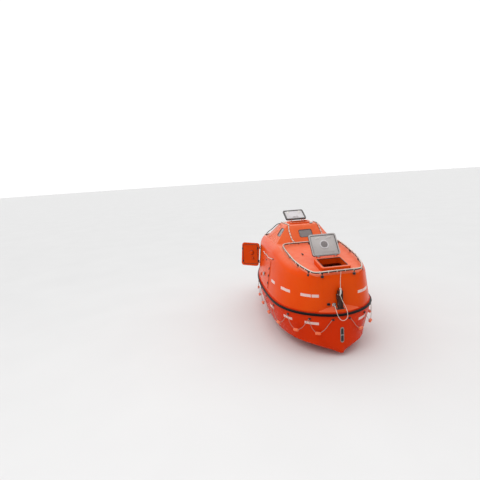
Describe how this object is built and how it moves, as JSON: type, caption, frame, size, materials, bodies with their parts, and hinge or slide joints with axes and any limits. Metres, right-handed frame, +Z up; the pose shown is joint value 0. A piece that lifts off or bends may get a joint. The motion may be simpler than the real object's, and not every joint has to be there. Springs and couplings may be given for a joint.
{
  "type": "enclosed lifeboat",
  "caption": "Enclosed lifeboat with hollow hull and canopy, wheelhouse, hinged side doors and hatch lids, lifting hooks, becketed lifelines and a propeller in a steering nozzle.",
  "frame": {"origin": "on the centreline, on the waterline that the boat floats at, 3.0 m aft of the fender's fore end", "axes": "+X to the bow, +Y to port, +Z up"},
  "size_m": [6.0321, 2.8806, 3.1182],
  "materials": {
    "canopy_grp": "orange gelcoat on moulded glass fibre, satin",
    "hull_grp": "deep orange gelcoat on moulded glass fibre, satin",
    "fender_rubber": "matt black extruded rubber",
    "glass": "grey tinted glazing",
    "liner": "pale grey moulded lining with a fine non slip grain",
    "seat_cover": "moulded orange bench tops, matt",
    "engine": "grey green enamel",
    "black_metal": "black powder coat",
    "console_black": "black moulded console",
    "stainless": "brushed stainless steel",
    "float_foam": "orange foam floats on pale rope",
    "rope": "laid pale synthetic rope",
    "bronze": "cast bronze, polished blades",
    "lamp": "white lamp dome on a black foot"
  },
  "bodies": {
    "boat": {"hull": "hull_grp", "fender": "fender_rubber", "canopy_fore": "canopy_grp", "canopy_mid": "canopy_grp", "canopy_aft": "canopy_grp", "wheelhouse": "canopy_grp", "window_front": "glass", "window_aft": "glass", "window_starboard": "glass", "window_port": "glass", "cabin_sole": "liner", "bench_starboard": "seat_cover", "bench_port": "seat_cover", "engine_block": "engine", "helm_seat": "seat_cover", "helm_console": "console_black", "fore_deck_rail": "black_metal", "aft_deck_rail": "black_metal", "roof_rail_starboard": "black_metal", "roof_rail_port": "black_metal", "bow_hook_post": "black_metal", "bow_hook": "stainless", "stern_hook_post": "black_metal", "stern_hook": "stainless", "stem_plate": "stainless", "fairlead": "black_metal", "painter_release": "stainless", "roof_lamp": "lamp", "vent_block": "black_metal", "deck_cleat_starboard": "black_metal", "deck_cleat_port": "black_metal", "lifeline_starboard": "float_foam", "lifeline_port": "float_foam", "painter_rope": "rope"},
    "door_mid_starboard": {"door_mid_starboard": "canopy_grp"},
    "door_mid_port": {"door_mid_port": "canopy_grp"},
    "door_aft_starboard": {"door_aft_starboard": "canopy_grp"},
    "door_aft_port": {"door_aft_port": "canopy_grp"},
    "fore_hatch_lid": {"fore_hatch_lid": "canopy_grp"},
    "roof_hatch_lid": {"roof_hatch_lid": "canopy_grp"},
    "propeller": {"propeller": "bronze"},
    "nozzle": {"steering_nozzle": "black_metal"}
  },
  "joints": [
    {"name": "door_mid_starboard_hinge", "type": "hinge", "parent": "boat", "child": "door_mid_starboard", "pos_m": [-0.16993, -1.1506, 1.06069], "axis": [0, -0.1457, -0.9893], "range_deg": [0, 105]},
    {"name": "door_mid_port_hinge", "type": "hinge", "parent": "boat", "child": "door_mid_port", "pos_m": [-0.16993, 1.1506, 1.06069], "axis": [0, -0.1457, 0.9893], "range_deg": [0, 105]},
    {"name": "door_aft_starboard_hinge", "type": "hinge", "parent": "boat", "child": "door_aft_starboard", "pos_m": [-1.373, -0.96711, 1.16708], "axis": [0, -0.0973, -0.9953], "range_deg": [-105, 0]},
    {"name": "door_aft_port_hinge", "type": "hinge", "parent": "boat", "child": "door_aft_port", "pos_m": [-1.373, 0.96711, 1.16708], "axis": [0, -0.0973, 0.9953], "range_deg": [0, 105]},
    {"name": "fore_hatch_hinge", "type": "hinge", "parent": "boat", "child": "fore_hatch_lid", "pos_m": [2.15918, 0, 1.75631], "axis": [0, -1, 0], "range_deg": [-136, 0]},
    {"name": "roof_hatch_hinge", "type": "hinge", "parent": "boat", "child": "roof_hatch_lid", "pos_m": [-0.178, 0, 2.401], "axis": [0, -1, 0], "range_deg": [-150, 0]},
    {"name": "propeller_shaft", "type": "hinge", "parent": "boat", "child": "propeller", "pos_m": [-2.55, 0, -0.16], "axis": [1, 0, 0], "continuous": true},
    {"name": "nozzle_stock", "type": "hinge", "parent": "boat", "child": "nozzle", "pos_m": [-2.55, 0, -0.16], "axis": [0, 0, 1], "range_deg": [-30, 30]}
  ]
}
